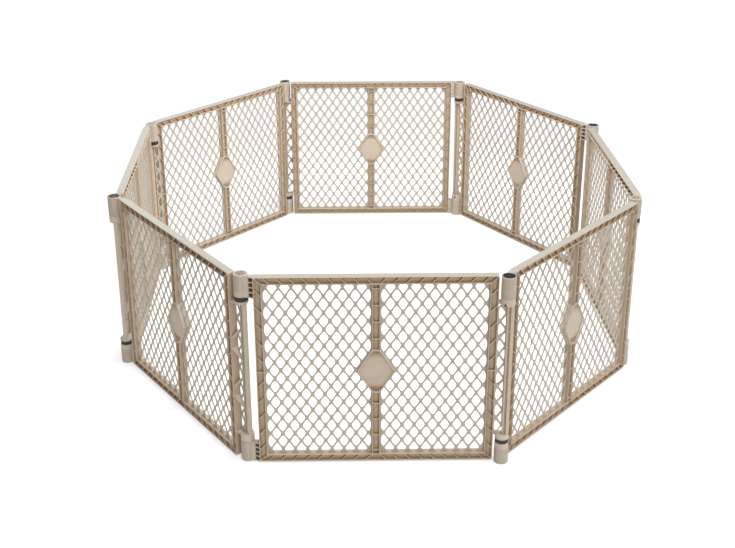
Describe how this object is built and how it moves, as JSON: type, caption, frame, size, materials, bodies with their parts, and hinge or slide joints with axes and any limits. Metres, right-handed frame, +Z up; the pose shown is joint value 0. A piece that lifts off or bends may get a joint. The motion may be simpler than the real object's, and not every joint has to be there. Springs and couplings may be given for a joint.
{
  "type": "play yard",
  "caption": "Free-standing play yard: a closed ring of moulded lattice panels on vertical pin hinges that folds inwards.",
  "frame": {"origin": "on the floor at the centre of the ring", "axes": "+Z up, front panel's hinge line along +X, its outside facing -Y"},
  "size_m": [1.912, 2.1328, 0.66],
  "materials": {
    "beige_plastic": "moulded satin beige",
    "black_plastic": "moulded satin black"
  },
  "bodies": {
    "panel_1": {"panel_1": "beige_plastic", "panel_1_lattice": "beige_plastic", "hinge_1_upper_pin": "black_plastic", "hinge_1_lower_pin": "black_plastic"},
    "panel_2": {"panel_2": "beige_plastic", "panel_2_lattice": "beige_plastic", "hinge_2_upper_pin": "black_plastic", "hinge_2_lower_pin": "black_plastic"},
    "panel_3": {"panel_3": "beige_plastic", "panel_3_lattice": "beige_plastic", "hinge_3_upper_pin": "black_plastic", "hinge_3_lower_pin": "black_plastic"},
    "panel_4": {"panel_4": "beige_plastic", "panel_4_lattice": "beige_plastic", "hinge_4_upper_pin": "black_plastic", "hinge_4_lower_pin": "black_plastic"},
    "panel_5": {"panel_5": "beige_plastic", "panel_5_lattice": "beige_plastic", "hinge_5_upper_pin": "black_plastic", "hinge_5_lower_pin": "black_plastic"},
    "panel_6": {"panel_6": "beige_plastic", "panel_6_lattice": "beige_plastic", "hinge_6_upper_pin": "black_plastic", "hinge_6_lower_pin": "black_plastic"},
    "panel_7": {"panel_7": "beige_plastic", "panel_7_lattice": "beige_plastic", "hinge_7_upper_pin": "black_plastic", "hinge_7_lower_pin": "black_plastic"},
    "panel_8": {"panel_8": "beige_plastic", "panel_8_lattice": "beige_plastic", "hinge_8_upper_pin": "black_plastic", "hinge_8_lower_pin": "black_plastic"}
  },
  "joints": [
    {"name": "hinge_2_fold", "type": "hinge", "parent": "panel_1", "child": "panel_2", "pos_m": [0.43252, -1.03887, 0.33], "axis": [0, 0, -1], "range_deg": [-40, 120]},
    {"name": "hinge_3", "type": "hinge", "parent": "panel_2", "child": "panel_3", "pos_m": [0.92969, -0.39561, 0.33], "axis": [0, 0, 1], "range_deg": [-40, 120]},
    {"name": "hinge_4", "type": "hinge", "parent": "panel_3", "child": "panel_4", "pos_m": [0.90415, 0.41699, 0.33], "axis": [0, 0, -1], "range_deg": [-40, 120]},
    {"name": "hinge_5", "type": "hinge", "parent": "panel_4", "child": "panel_5", "pos_m": [0.38048, 1.03887, 0.33], "axis": [0, 0, 1], "range_deg": [-40, 120]},
    {"name": "hinge_1", "type": "hinge", "parent": "panel_1", "child": "panel_8", "pos_m": [-0.38048, -1.03887, 0.33], "axis": [0, 0, -1], "range_deg": [-40, 120]},
    {"name": "hinge_8", "type": "hinge", "parent": "panel_8", "child": "panel_7", "pos_m": [-0.90415, -0.41699, 0.33], "axis": [0, 0, 1], "range_deg": [-40, 120]},
    {"name": "hinge_7", "type": "hinge", "parent": "panel_7", "child": "panel_6", "pos_m": [-0.92969, 0.39561, 0.33], "axis": [0, 0, -1], "range_deg": [-40, 120]}
  ],
  "couplings": [
    {"joint": "hinge_3", "follows": "hinge_2_fold", "ratio": 1},
    {"joint": "hinge_4", "follows": "hinge_2_fold", "ratio": 1},
    {"joint": "hinge_5", "follows": "hinge_2_fold", "ratio": 1},
    {"joint": "hinge_1", "follows": "hinge_2_fold", "ratio": 1},
    {"joint": "hinge_8", "follows": "hinge_2_fold", "ratio": 1},
    {"joint": "hinge_7", "follows": "hinge_2_fold", "ratio": 1}
  ]
}
